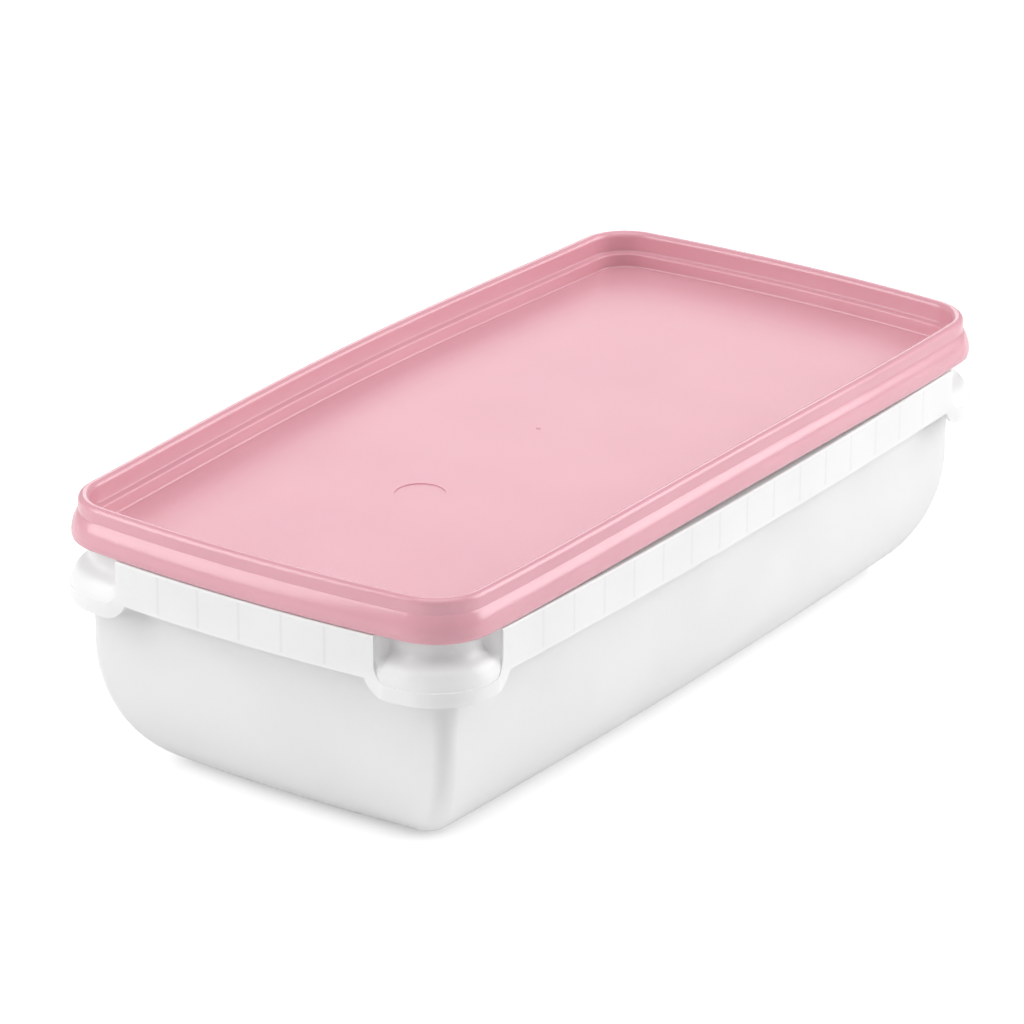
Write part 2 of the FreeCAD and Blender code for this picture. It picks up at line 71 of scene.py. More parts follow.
@dataclass(frozen=True)
class Plan:
    """The bowed rectangle that every level of the container follows.

    A quarter of it runs from the middle of the +y long side, round the corner, to the middle of
    the +x short side.
    """

    half_length: float = 145 * MM
    half_width: float = 73 * MM
    long_radius: float = 3000 * MM
    short_radius: float = 560 * MM
    corner_radius: float = 18.5 * MM
    long_steps: int = 28
    corner_steps: int = 18
    short_steps: int = 14

    @property
    def long_centre(self) -> Vector:
        """Centre of the long side's bow."""
        return Vector((0, self.half_width - self.long_radius, 0))

    @property
    def short_centre(self) -> Vector:
        """Centre of the short side's bow."""
        return Vector((self.half_length - self.short_radius, 0, 0))

    def corner(self, inset: float = 0.0, radius: float | None = None) -> tuple[Vector, float, float]:
        """Find where an outline's corner arc touches its two sides.

        Args:
            inset: Distance inside the outermost outline.
            radius: The corner's own radius, or None for an outline parallel to the outermost one.

        Returns:
            The corner's centre, and the directions of its two ends as angles from +x.
        """
        if radius is None:
            radius = self.corner_radius - inset
        from_long = self.long_radius - inset - radius
        from_short = self.short_radius - inset - radius
        gap = self.short_centre - self.long_centre
        along = (from_long * from_long - from_short * from_short + gap.length_squared) / (2 * gap.length)
        across = math.sqrt(from_long * from_long - along * along)
        unit = gap.normalized()
        centre = self.long_centre + unit * along + Vector((unit.y, -unit.x, 0)) * across
        to_long = centre - self.long_centre
        to_short = centre - self.short_centre
        return centre, math.atan2(to_long.y, to_long.x), math.atan2(to_short.y, to_short.x)

    def runs(self, inset: float = 0.0, radius: float | None = None) -> list[tuple[Vector, float, int]]:
        """List the quarter's three arcs.

        Args:
            inset: Distance inside the outermost outline.
            radius: The corner's own radius, or None for a parallel outline.

        Returns:
            Each arc's centre, the angle turned clockwise and its steps.
        """
        centre, long_end, short_end = self.corner(inset, radius)
        return [
            (self.long_centre, math.pi / 2 - long_end, self.long_steps),
            (centre, long_end - short_end, self.corner_steps),
            (self.short_centre, short_end, self.short_steps),
        ]

    @property
    def quarter_length(self) -> float:
        """Length of a quarter of the outermost outline."""
        return sum(self.run_lengths())

    def run_lengths(self) -> tuple[float, float, float]:
        """Measure the outermost outline's arcs.

        Returns:
            The lengths of the half long side, the corner and the half short side.
        """
        radii = (self.long_radius, self.corner_radius, self.short_radius)
        arcs = [radius * run[1] for radius, run in zip(radii, self.runs())]
        return arcs[0], arcs[1], arcs[2]

    def wrap(self, flat: Vector) -> Vector:
        """Bend a flat point round the quarter.

        Args:
            flat: Distance along the outermost outline, distance inside it, and height.

        Returns:
            The point on the container.
        """
        along, inset, height = flat
        corner_centre, long_end, short_end = self.corner()
        long_run, corner_run, _ = self.run_lengths()
        if along <= long_run:
            centre, radius = self.long_centre, self.long_radius
            angle = math.pi / 2 - along / radius
        elif along <= long_run + corner_run:
            centre, radius = corner_centre, self.corner_radius
            angle = long_end - (along - long_run) / radius
        else:
            centre, radius = self.short_centre, self.short_radius
            angle = short_end - (along - long_run - corner_run) / radius
        reach = radius - inset
        return Vector((centre.x + reach * math.cos(angle), centre.y + reach * math.sin(angle), height))

    def side_y(self, x: float) -> float:
        """Half width of the outermost outline at x."""
        return self.long_centre.y + math.sqrt(self.long_radius**2 - x * x)

    def side_x(self, y: float) -> float:
        """Half length of the outermost outline at y."""
        return self.short_centre.x + math.sqrt(self.short_radius**2 - y * y)


# ---------------- mesh tools


class SectionPen:
    """Draws an outline as a chain of edges, from point to point and round arcs."""

    def __init__(self, bm: BMesh, start: Vector) -> None:
        """Start the chain at a point."""
        self.bm = bm
        self.last = bm.verts.new(start)
        self.edges: list[BMEdge] = []

    def line(self, to: Vector) -> None:
        """Draw a straight edge.

        Args:
            to: Where the edge ends.
        """
        made = bmesh.ops.extrude_vert_indiv(self.bm, verts=[self.last])
        self.last = made["verts"][0]
        self.last.co = to
        self.edges += made["edges"]

    def arc(self, centre: Vector, degrees: float, steps: int, axis: Vector = Vector((-1, 0, 0))) -> None:
        """Turn the chain's end about an axis.

        Args:
            centre: A point on the axis.
            degrees: How far to turn.
            steps: Edges in the arc.
            axis: The axis turned about.
        """
        known = set(self.bm.edges)
        made = bmesh.ops.spin(
            self.bm, geom=[self.last], cent=centre, axis=axis, angle=math.radians(degrees), steps=steps
        )
        self.last = next(g for g in made["geom_last"] if isinstance(g, BMVert))
        self.edges += [e for e in self.bm.edges if e not in known]


def spin_quarter(
    bm: BMesh, geom: Sequence[BMVert | BMEdge], plan: Plan, inset: float = 0.0, radius: float | None = None
) -> None:
    """Sweep a section, or a point, round a quarter of the plan.

    Args:
        bm: The mesh.
        geom: The section, which stands in the plane x = 0 on the +y side.
        plan: The plan followed.
        inset: The inset whose corner is turned about.
        radius: That outline's corner radius, or None for a parallel one.
    """
    current = list(geom)
    for centre, angle, steps in plan.runs(inset, radius):
        made = bmesh.ops.spin(bm, geom=current, cent=centre, axis=(0, 0, -1), angle=angle, steps=steps)
        current = made["geom_last"]


def mirror_quarter(bm: BMesh) -> None:
    """Mirror a quarter to the whole container, merging what meets on the middle planes.

    Args:
        bm: The mesh, which holds the quarter at +x and +y.
    """
    for vert in bm.verts:
        if abs(vert.co.x) < SNAP:
            vert.co.x = 0
        if abs(vert.co.y) < SNAP:
            vert.co.y = 0
    for axis in ("X", "Y"):
        geom = bm.verts[:] + bm.edges[:] + bm.faces[:]
        bmesh.ops.mirror(bm, geom=geom, matrix=Matrix.Identity(4), merge_dist=MERGE, axis=axis)
    merge_doubles(bm)


def merge_doubles(bm: BMesh) -> None:
    """Merge the vertices that lie on each other."""
    bmesh.ops.remove_doubles(bm, verts=bm.verts[:], dist=MERGE)


def outward(bm: BMesh) -> None:
    """Merge doubles and point all faces outwards."""
    merge_doubles(bm)
    bmesh.ops.recalc_face_normals(bm, faces=bm.faces[:])


def middle(edge: BMEdge) -> Vector:
    """Return an edge's middle."""
    return (edge.verts[0].co + edge.verts[1].co) / 2


def open_edges(bm: BMesh, level: float) -> list[BMEdge]:
    """Return the open edges at a height."""
    return [e for e in bm.edges if e.is_boundary and abs(middle(e).z - level) < NEAR]


def extrude_loop(bm: BMesh, edges: list[BMEdge]) -> tuple[list[BMVert], list[BMEdge]]:
    """Extrude a chain of edges, leaving the new one in place.

    Args:
        bm: The mesh.
        edges: The edges to extrude.

    Returns:
        The new chain's vertices and edges.
    """
    made = bmesh.ops.extrude_edge_only(bm, edges=edges)["geom"]
    verts = [g for g in made if isinstance(g, BMVert)]
    return verts, [g for g in made if isinstance(g, BMEdge) and all(v in verts for v in g.verts)]


def finish_piece(
    bm: BMesh, name: str, materials: Iterable[Material], sharp: float
) -> Object:
    """Make an object of a mesh.

    Args:
        bm: The mesh, which is freed.
        name: The object's name.
        materials: Its materials, in slot order.
        sharp: Edges that turn more than this many degrees stay sharp.

    Returns:
        The new object, at the origin.
    """
    mesh = bpy.data.meshes.new(name)
    bm.to_mesh(mesh)
    bm.free()
    mesh.shade_smooth()
    mesh.set_sharp_from_angle(angle=math.radians(sharp))
    for material in materials:
        mesh.materials.append(material)
    obj = bpy.data.objects.new(name, mesh)
    bpy.context.scene.collection.objects.link(obj)
    return obj


def ease(share: float) -> float:
    """Return a share held between 0 and 1, eased at both ends."""
    held = min(1.0, max(0.0, share))
    return held * held * (3 - 2 * held)


# ---------------- finishes


class NodeSheet:
    """Adds and links nodes in one node tree."""

    def __init__(self, tree: NodeTree) -> None:
        """Work on a tree."""
        self.tree = tree

    def add(self, kind: str, links: dict[str | int, object] | None = None, **settings: object) -> Node:
        """Add a node.

        Args:
            kind: The node's type name.
            links: Inputs, each an output socket to link or a value to set.
            **settings: Properties of the node.

        Returns:
            The node.
        """
        node = self.tree.nodes.new(kind)
        for key, value in settings.items():
            setattr(node, key, value)
        for key, value in (links or {}).items():
            if isinstance(value, NodeSocket):
                self.tree.links.new(value, node.inputs[key])
            else:
                node.inputs[key].default_value = value
        return node

    def math(self, operation: str, *values: object) -> NodeSocket:
        """Add a Math node and return its output."""
        return self.add("ShaderNodeMath", dict(enumerate(values)), operation=operation).outputs[0]

    def ramp(
        self, value: object, low: float, high: float, to_low: float = 0.0, to_high: float = 1.0
    ) -> NodeSocket:
        """Map a range smoothly and return the output."""
        inputs = {"Value": value, "From Min": low, "From Max": high, "To Min": to_low, "To Max": to_high}
        return self.add("ShaderNodeMapRange", inputs, interpolation_type="SMOOTHSTEP").outputs[0]

    def noise(self, place: object, scale: object, detail: float, roughness: float = 0.5) -> NodeSocket:
        """Add a Noise texture and return its value."""
        inputs = {"Vector": place, "Scale": scale, "Detail": detail, "Roughness": roughness}
        return self.add("ShaderNodeTexNoise", inputs).outputs["Fac"]

    def mix(self, factor: object, a: object, b: object) -> NodeSocket:
        """Mix two colours and return the output."""
        node = self.add("ShaderNodeMix", {0: factor, 6: a, 7: b}, data_type="RGBA")
        return node.outputs[2]

    def mix_shaders(self, factor: object, a: Node, b: Node) -> Node:
        """Mix two shaders and return the node."""
        return self.add("ShaderNodeMixShader", {0: factor, 1: a.outputs[0], 2: b.outputs[0]})


def new_material(name: str) -> tuple[Material, NodeSheet]:
    """Make a material with no nodes.

    Args:
        name: The material's name.

    Returns:
        The material, and a sheet for its nodes.
    """
    material = bpy.data.materials.new(name)
    material.use_nodes = True
    material.node_tree.nodes.clear()
    return material, NodeSheet(material.node_tree)


def new_group(name: str, inputs: Sequence[str], outputs: Sequence[str]) -> NodeTree:
    """Make an empty node group whose sockets are numbers.

    Args:
        name: The group's name.
        inputs: The input sockets' names.
        outputs: The output sockets' names.

    Returns:
        The group.
    """
    group = bpy.data.node_groups.new(name, "ShaderNodeTree")
    for side, labels in (("INPUT", inputs), ("OUTPUT", outputs)):
        for label in labels:
            group.interface.new_socket(name=label, in_out=side, socket_type="NodeSocketFloat")
    return group


def moulded_grain_group(wave_scale: float = 28.0, patch_scale: float = 55.0) -> NodeTree:
    """Build the surface of moulded plastic: fine tool grain, slow sink marks and rubbed patches.

    Args:
        wave_scale: How many sink marks there are in a metre.
        patch_scale: How many rubbed patches there are in a metre.

    Returns:
        A group that puts out a bump height, a roughness and a tint factor.
    """
    group = new_group(
        "MouldedGrain",
        ("Grain Size mm", "Grain Height", "Wave Height", "Roughness", "Roughness Spread"),
        ("Height", "Roughness", "Tint"),
    )
    sheet = NodeSheet(group)
    given = sheet.add("NodeGroupInput").outputs
    place = sheet.add("ShaderNodeTexCoord").outputs["Object"]
    scale = sheet.math("DIVIDE", 1 / MM, given["Grain Size mm"])
    grain = sheet.noise(place, scale, detail=3.0, roughness=0.6)
    waves = sheet.noise(place, wave_scale, detail=1.0)
    patches = sheet.noise(place, patch_scale, detail=4.0)
    grain_part = sheet.math("MULTIPLY", grain, given["Grain Height"])
    wave_part = sheet.math("MULTIPLY", waves, given["Wave Height"])
    height = sheet.math("ADD", grain_part, wave_part)
    spread = sheet.math("MULTIPLY", sheet.math("SUBTRACT", patches, 0.5), given["Roughness Spread"])
    rough = sheet.math("ADD", given["Roughness"], sheet.math("MULTIPLY", spread, 2.0))
    tint = sheet.ramp(waves, low=0.3, high=0.7)
    sheet.add("NodeGroupOutput", {"Height": height, "Roughness": rough, "Tint": tint})
    return group


@dataclass(frozen=True)
class MouldedFinish:
    """A moulded plastic surface: its two tones, gloss, grain and depth."""

    name: str
    colour: Colour
    shade: Colour
    roughness: float
    spread: float
    bump: float
    grain_mm: float = 0.5
    grain_height: float = 0.2
    wave_height: float = 0.6
    subsurface: float = 0.35
    subsurface_scale: float = 3.0 * MM
    scatter: Colour = (1.0, 1.0, 1.0)
    coat: float = 0.0
    coat_roughness: float = 0.12
    refraction: float = 1.49

    def build(self, grain: NodeTree) -> Material:
        """Make the material.

        Args:
            grain: The shared grain group.

        Returns:
            The material.
        """
        material, sheet = new_material(self.name)
        surface = sheet.add(
            "ShaderNodeGroup",
            {
                "Grain Size mm": self.grain_mm,
                "Grain Height": self.grain_height,
                "Wave Height": self.wave_height,
                "Roughness": self.roughness,
                "Roughness Spread": self.spread,
            },
            node_tree=grain,
        ).outputs
        bump = sheet.add(
            "ShaderNodeBump", {"Height": surface["Height"], "Strength": 1.0, "Distance": self.bump}
        )
        shader = sheet.add(
            "ShaderNodeBsdfPrincipled",
            {
                "Base Color": self.colour_socket(sheet, surface["Tint"]),
                "Roughness": surface["Roughness"],
                "Normal": bump.outputs["Normal"],
                "IOR": self.refraction,
                "Subsurface Weight": self.subsurface,
                "Subsurface Scale": self.subsurface_scale,
                "Subsurface Radius": self.scatter,
                "Coat Weight": self.coat,
                "Coat Roughness": self.coat_roughness,
            },
        )
        sheet.add("ShaderNodeOutputMaterial", {"Surface": shader.outputs[0]})
        return material

    def colour_socket(self, sheet: NodeSheet, tint: NodeSocket) -> NodeSocket:
        """Return the surface's colour, between its two tones."""
        return sheet.mix(tint, (*self.shade, 1.0), (*self.colour, 1.0))


@dataclass(frozen=True)
class FrostedFinish(MouldedFinish):
    """Thin frosted plastic, with grey lines of painted shade where the skirt's ribs stand behind it."""

    rib_width: float = 0.8 * MM
    rib_low: float = 58.6 * MM
    rib_high: float = 70.8 * MM
    low_fade: float = 1.2 * MM
    high_fade: float = 0.8 * MM
    long_from: float = 68 * MM
    short_from: float = 140.5 * MM
    long_reach: float = 108 * MM
    short_reach: float = 36 * MM
    side_fade: float = 1 * MM
    stripe_core: float = 0.4
    stripe_soft: float = 1.8
    # painted shade: grey stripes stand in for the ribs showing darker through the thin skirt
    rib_shade_strength: float = 0.16
    rib_shade_colour: Colour = (0.52, 0.53, 0.55)

    def colour_socket(self, sheet: NodeSheet, tint: NodeSocket) -> NodeSocket:
        """Return the frosted tone with grey lines of painted shade where the ribs stand behind the skirt.

        Args:
            sheet: The material's nodes.
            tint: The factor between the two tones.

        Returns:
            The colour.
        """
        base = super().colour_socket(sheet, tint)
        place = sheet.add("ShaderNodeTexCoord").outputs["Object"]
        axes = sheet.add("ShaderNodeSeparateXYZ", {0: place}).outputs
        long_part = self.comb(sheet, axes["X"], self.long_reach, axes["Y"], self.long_from)
        short_part = self.comb(sheet, axes["Y"], self.short_reach, axes["X"], self.short_from)
        # the ribs' show-through is painted shade, mixed into the surface colour
        ribs = sheet.math("MAXIMUM", long_part, short_part)
        above = sheet.ramp(axes["Z"], self.rib_low, self.rib_low + self.low_fade)
        below = sheet.ramp(axes["Z"], self.rib_high - self.high_fade, self.rib_high, 1.0, 0.0)
        rib_shade_mask = sheet.math("MULTIPLY", sheet.math("MULTIPLY", ribs, above), below)
        rib_shade_mask = sheet.math("MULTIPLY", rib_shade_mask, self.rib_shade_strength)
        return sheet.mix(rib_shade_mask, base, (*self.rib_shade_colour, 1.0))

    def comb(
        self, sheet: NodeSheet, along: NodeSocket, reach: float, out: NodeSocket, start: float
    ) -> NodeSocket:
        """Draw soft stripes of painted shade at the places of one pair of sides' ribs.

        Args:
            sheet: The material's nodes.
            along: Place along the side.
            reach: How far from the side's middle the ribs go.
            out: Distance from the container's middle.
            start: How far out the ribs start.

        Returns:
            1 at a rib and 0 elsewhere.
        """
        steps = sheet.math("DIVIDE", along, RIB_PITCH)
        off = sheet.math("ABSOLUTE", sheet.math("SUBTRACT", steps, sheet.math("ROUND", steps)))
        half = self.rib_width / RIB_PITCH / 2
        stripe = sheet.ramp(off, half * self.stripe_core, half * self.stripe_soft, 1.0, 0.0)
        inside = sheet.ramp(sheet.math("ABSOLUTE", along), reach - self.side_fade, reach, 1.0, 0.0)
        on_side = sheet.ramp(sheet.math("ABSOLUTE", out), start - self.side_fade, start)
        return sheet.math("MULTIPLY", sheet.math("MULTIPLY", stripe, inside), on_side)


LID_BEAD = MouldedFinish(
    name="lid_bead",
    colour=(0.73, 0.365, 0.425),
    shade=(0.71, 0.35, 0.41),
    roughness=0.19,
    spread=0.04,
    grain_mm=0.45,
    grain_height=0.6,
    wave_height=0.5,
    bump=0.06 * MM,
    subsurface=0.1,
    subsurface_scale=1.5 * MM,
    scatter=(1.0, 0.7, 0.7),
    coat=0.3,
)
LID_PANEL = replace(
    LID_BEAD,
    name="lid_panel",
    roughness=0.3,
    spread=0.05,
    grain_mm=0.35,
    grain_height=0.7,
    bump=0.08 * MM,
    coat=0.0,
)
TUB_FROSTED = FrostedFinish(
    name="tub_frosted",
    colour=(0.87, 0.87, 0.87),
    shade=(0.84, 0.84, 0.84),
    roughness=0.34,
    spread=0.05,
    bump=0.05 * MM,
)
# painted highlight: a paler white than the frosted finish, for the skirt's bevelled edges where thin edges
# catch light
TUB_EDGE_HIGHLIGHT = MouldedFinish(
    name="tub_edge_highlight",
    colour=(0.97, 0.97, 0.97),
    shade=(0.95, 0.95, 0.95),
    roughness=0.22,
    spread=0.04,
    bump=0.03 * MM,
)


# ---------------- lid


class LidSlot(IntEnum):
    """Places of the lid's finishes."""

    BEAD = 0
    PANEL = 1


@dataclass
class Lid:
    """The press-on lid: a convex skirt, a rounded bead, a ledge and a recessed, slightly cambered panel.

    A drop is a distance below the bead's top, and an inset is a distance inside the plan's outline.
    """

    plan: Plan
    top: float = 83.8 * MM
    thickness: float = 1.0 * MM
    bead_inset: float = 2.1 * MM
    bead_width: float = 3.4 * MM
    crease_drop: float = 4.35 * MM
    crease_half: float = 0.12 * MM
    crease_step: float = 0.05 * MM
    crease_turn: float = 1.0  # degrees of the bulge that the crease takes
    bulge_drop: float = 11.1 * MM
    foot_drop: float = 12.4 * MM
    foot_tuck: float = 0.25 * MM
    foot_round: float = 0.25 * MM
    ledge_drop: float = 6.3 * MM
    ledge_width: float = 2.4 * MM
    panel_drop: float = 10.7 * MM
    ledge_round: float = 0.5 * MM
    panel_round: float = 0.7 * MM
    camber: float = 1.5 * MM
    disc_x: float = -59.5 * MM
    disc_radius: float = 7.5 * MM
    disc_depth: float = 0.25 * MM
    disc_rings: tuple[float, ...] = (0.6, 0.3)
    nub_radius: float = 0.8 * MM
    nub_height: float = 0.3 * MM
    nub_segments: int = 20
    panel_cuts: int = 22
    sharp: float = 38

    def point(self, inset: float, drop: float) -> Vector:
        """Return a point of the section at the middle of the long side."""
        return Vector((0, self.plan.half_width - inset, self.top - drop))

    def draw_section(self, bm: BMesh) -> list[BMEdge]:
        """Draw the section from the panel's upper face, over the bead, to the panel's underside.

        Args:
            bm: The mesh.

        Returns:
            The section's edges.
        """
        t = self.thickness
        inner = self.bead_inset + self.bead_width
        ledge = inner + self.ledge_width
        bead = self.bead_width / 2
        mid = self.bead_inset + bead
        soft = self.ledge_round
        panel = self.panel_round
        stub = ledge + panel

        rise = self.bulge_drop - self.crease_drop
        bulge = (rise**2 + self.bead_inset**2) / (2 * self.bead_inset)
        outer_turn = math.degrees(math.asin(rise / bulge))
        small = bulge - t
        inner_turn = math.degrees(math.acos((bulge - self.bead_inset - t) / small))

        pen = SectionPen(bm, self.point(stub, self.panel_drop))
        pen.arc(self.point(stub, self.panel_drop - panel), -90, steps=4)
        pen.line(self.point(ledge, self.ledge_drop + soft))
        pen.arc(self.point(ledge - soft, self.ledge_drop + soft), 90, steps=3)
        pen.line(self.point(inner + soft, self.ledge_drop))
        pen.arc(self.point(inner + soft, self.ledge_drop - soft), -90, steps=3)
        pen.line(self.point(inner, bead))
        pen.arc(self.point(mid, bead), 180, steps=14)
        pen.line(self.point(self.bead_inset, self.crease_drop - self.crease_half))
        pen.line(self.point(self.bead_inset - self.crease_step, self.crease_drop + self.crease_half))
        self.draw_bulge(pen, bulge, bulge, outer_turn - self.crease_turn, 0.0, steps=9)
        pen.line(self.point(self.foot_tuck, self.foot_drop - self.foot_round))
        pen.line(self.point(self.foot_tuck + self.foot_round, self.foot_drop))
        pen.line(self.point(self.foot_tuck + t, self.foot_drop))
        self.draw_bulge(pen, bulge, small, 0.0, inner_turn, steps=6)
        pen.line(self.point(self.bead_inset + t, bead))
        pen.arc(self.point(mid, bead), -180, steps=8)
        pen.line(self.point(inner - t, self.ledge_drop + t))
        pen.line(self.point(ledge - t, self.ledge_drop + t))
        pen.line(self.point(ledge - t, self.panel_drop + t - panel))
        pen.arc(self.point(ledge - t + panel, self.panel_drop + t - panel), 90, steps=3)
        pen.line(self.point(stub, self.panel_drop + t))
        return pen.edges

    def draw_bulge(
        self, pen: SectionPen, centre: float, radius: float, start: float, end: float, steps: int
    ) -> None:
        """Draw part of the skirt's bulge.

        Args:
            pen: The section's pen.
            centre: Inset of the bulge's centre, level with its widest point.
            radius: Radius of the arc.
            start: Angle above the widest point at which the arc starts, in degrees.
            end: Angle at which it ends.
            steps: Edges in the arc.
        """
        angle = math.radians(start)
        pen.line(self.point(centre - radius * math.cos(angle), self.bulge_drop - radius * math.sin(angle)))
        pen.arc(self.point(centre, self.bulge_drop), start - end, steps)

    def fill_panel(self, bm: BMesh, level: float, with_disc: bool) -> list[BMFace]:
        """Fill the panel between the section's end and a round middle.

        Args:
            bm: The mesh.
            level: Height of the open edge to fill from.
            with_disc: True to sink the round mark, False to fill the middle flat.

        Returns:
            The panel's faces.
        """
        known = set(bm.faces)
        rim = open_edges(bm, level)
        centre = Vector((self.disc_x if with_disc else 0, 0, level))
        place = Matrix.Translation(centre)
        made = bmesh.ops.create_circle(
            bm, cap_ends=False, segments=len(rim), radius=self.disc_radius, matrix=place
        )
        ring = list(dict.fromkeys(e for v in made["verts"] for e in v.link_edges))
        spokes = bmesh.ops.bridge_loops(bm, edges=rim + ring)["edges"]
        bmesh.ops.subdivide_edges(bm, edges=spokes, cuts=self.panel_cuts, use_grid_fill=False)
        edge = [e for e in ring if e.is_valid]
        if with_disc:
            verts, edge = extrude_loop(bm, edge)
            bmesh.ops.translate(bm, verts=verts, vec=(0, 0, -self.disc_depth))
        for scale in self.disc_rings:
            verts, edge = extrude_loop(bm, edge)
            bmesh.ops.scale(bm, verts=verts, vec=(scale, scale, 1), space=Matrix.Translation(-centre))
        bmesh.ops.holes_fill(bm, edges=edge, sides=0)
        return [f for f in bm.faces if f not in known]

    def add_nub(self, bm: BMesh) -> None:
        """Add the small gate mark in the middle of the panel.

        Args:
            bm: The lid's mesh.
        """
        nub = bmesh.ops.create_uvsphere(
            bm, u_segments=self.nub_segments, v_segments=self.nub_segments // 2, radius=self.nub_radius
        )["verts"]
        flat = Matrix.Diagonal((1, 1, self.nub_height / self.nub_radius, 1))
        place = Matrix.Translation((0, 0, self.top - self.panel_drop))
        bmesh.ops.transform(bm, verts=nub, matrix=place @ flat)

    def swell(self, x: float) -> float:
        """Return how much the lid rises at x.

        Args:
            x: Distance from the middle, along the container.

        Returns:
            The camber's height there, which is nothing beyond the corners' arcs.
        """
        centre, long_end, _ = self.plan.corner()
        reach = centre.x + self.plan.corner_radius * math.cos(long_end)
        share = min(1.0, abs(x) / reach)
        return self.camber * (1 - share**2) ** 2

    def build(self, bead_finish: Material, panel_finish: Material) -> Object:
        """Build the lid.

        Args:
            bead_finish: Finish of the rim.
            panel_finish: Finish of the recessed panel.

        Returns:
            The lid.
        """
        bm = bmesh.new()
        section = self.draw_section(bm)
        spin_quarter(bm, bm.verts[:] + section, self.plan)
        mirror_quarter(bm)
        for face in self.fill_panel(bm, self.top - self.panel_drop, True):
            face.material_index = LidSlot.PANEL
        self.fill_panel(bm, self.top - self.panel_drop - self.thickness, False)
        outward(bm)
        self.add_nub(bm)
        for vert in bm.verts:
            vert.co.z += self.swell(vert.co.x)
        return finish_piece(bm, "lid_shell", (bead_finish, panel_finish), self.sharp)


# ---------------- tub


class TubSlot(IntEnum):
    """Places of the tub's finishes."""

    FROSTED = 0
    EDGE = 1


class FlatPart(IntEnum):
    """Marks of the flat skirt's two faces while it is cut and folded."""

    SKIRT = 0
    WINDOW = 1


